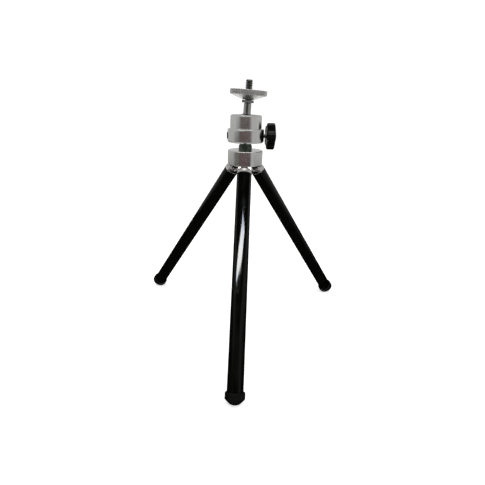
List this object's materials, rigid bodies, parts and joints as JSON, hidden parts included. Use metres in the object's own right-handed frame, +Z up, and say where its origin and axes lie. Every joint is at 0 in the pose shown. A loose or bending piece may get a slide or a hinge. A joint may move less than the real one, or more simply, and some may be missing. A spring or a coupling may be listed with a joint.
{
  "type": "tabletop tripod",
  "caption": "Mini tabletop tripod with folding tube legs, a turned hub, and a ball head with a side locking knob, a knurled locking disc and a camera screw.",
  "frame": {"origin": "on the floor, under the middle of the outline of the whole tripod with its legs spread", "axes": "+Z up along the hub, -Y towards the front leg, +X towards the side with the locking knob"},
  "size_m": [0.2198, 0.1924, 0.2304],
  "materials": {
    "turned_aluminium": "fine turned, semi-gloss",
    "chromed_steel": "bright chrome",
    "polished_steel": "polished",
    "zinc_steel": "dull zinc plate",
    "gloss_black": "high-gloss black lacquer",
    "black_plastic": "moulded, satin",
    "black_rubber": "matte",
    "white_nylon": "satin"
  },
  "bodies": {
    "base": {"hub_body": "turned_aluminium", "hub_screw": "zinc_steel", "neck": "chromed_steel", "hinge_pin_front": "zinc_steel", "hinge_pin_right": "zinc_steel", "hinge_pin_left": "zinc_steel", "ball_housing": "turned_aluminium", "housing_cap": "turned_aluminium", "ball_seat": "white_nylon", "cross_plug": "zinc_steel"},
    "leg_front": {"leg_tongue_front": "black_plastic", "leg_ferrule_front": "chromed_steel", "leg_tube_front": "gloss_black", "foot_front": "black_rubber"},
    "leg_right": {"leg_tongue_right": "black_plastic", "leg_ferrule_right": "chromed_steel", "leg_tube_right": "gloss_black", "foot_right": "black_rubber"},
    "leg_left": {"leg_tongue_left": "black_plastic", "leg_ferrule_left": "chromed_steel", "leg_tube_left": "gloss_black", "foot_left": "black_rubber"},
    "ball": {"ball": "polished_steel"},
    "stem": {"ball_stem": "polished_steel"},
    "stud": {"camera_stud": "zinc_steel"},
    "nut": {"jam_nut": "polished_steel"},
    "disc": {"locking_disc": "turned_aluminium"},
    "screw": {"lock_screw": "polished_steel", "brake_plug": "white_nylon"},
    "knob": {"lock_knob": "black_plastic"}
  },
  "joints": [
    {"name": "fold_front", "type": "hinge", "parent": "base", "child": "leg_front", "pos_m": [0, 0.02107, 0.16315], "axis": [1, 0, 0], "range_deg": [0, 34.3]},
    {"name": "fold_right", "type": "hinge", "parent": "base", "child": "leg_right", "pos_m": [0.00705, 0.03329, 0.16315], "axis": [-0.5, 0.866, 0], "range_deg": [0, 34.3]},
    {"name": "fold_left", "type": "hinge", "parent": "base", "child": "leg_left", "pos_m": [-0.00705, 0.03329, 0.16315], "axis": [-0.5, -0.866, 0], "range_deg": [0, 34.3]},
    {"name": "ball_tilt", "type": "hinge", "parent": "base", "child": "ball", "pos_m": [0, 0.02921, 0.19418], "axis": [1, 0, 0], "range_deg": [-19, 19]},
    {"name": "ball_lean", "type": "hinge", "parent": "ball", "child": "stem", "pos_m": [0, 0.02921, 0.19418], "axis": [0, 1, 0], "range_deg": [-22, 16]},
    {"name": "ball_pan", "type": "hinge", "parent": "stem", "child": "stud", "pos_m": [0, 0.02921, 0.19418], "axis": [0.0523, 0, 0.9986], "continuous": true},
    {"name": "disc_rise", "type": "slide", "parent": "stud", "child": "nut", "axis": [0.0523, 0, 0.9986], "range_m": [0, 0.00635]},
    {"name": "disc_spin", "type": "hinge", "parent": "nut", "child": "disc", "pos_m": [0, 0.02921, 0.19418], "axis": [0.0523, 0, 0.9986], "range_deg": [0, 1802]},
    {"name": "screw_travel", "type": "slide", "parent": "base", "child": "screw", "axis": [0.9945, 0.1045, 0], "range_m": [0, 0.0014]},
    {"name": "knob_turn", "type": "hinge", "parent": "screw", "child": "knob", "pos_m": [0.02188, 0.03151, 0.18558], "axis": [0.9945, 0.1045, 0], "range_deg": [0, 722]}
  ],
  "couplings": [
    {"joint": "disc_spin", "follows": "disc_rise", "rad_per_m": 4947.4},
    {"joint": "knob_turn", "follows": "screw_travel", "rad_per_m": 8976}
  ]
}
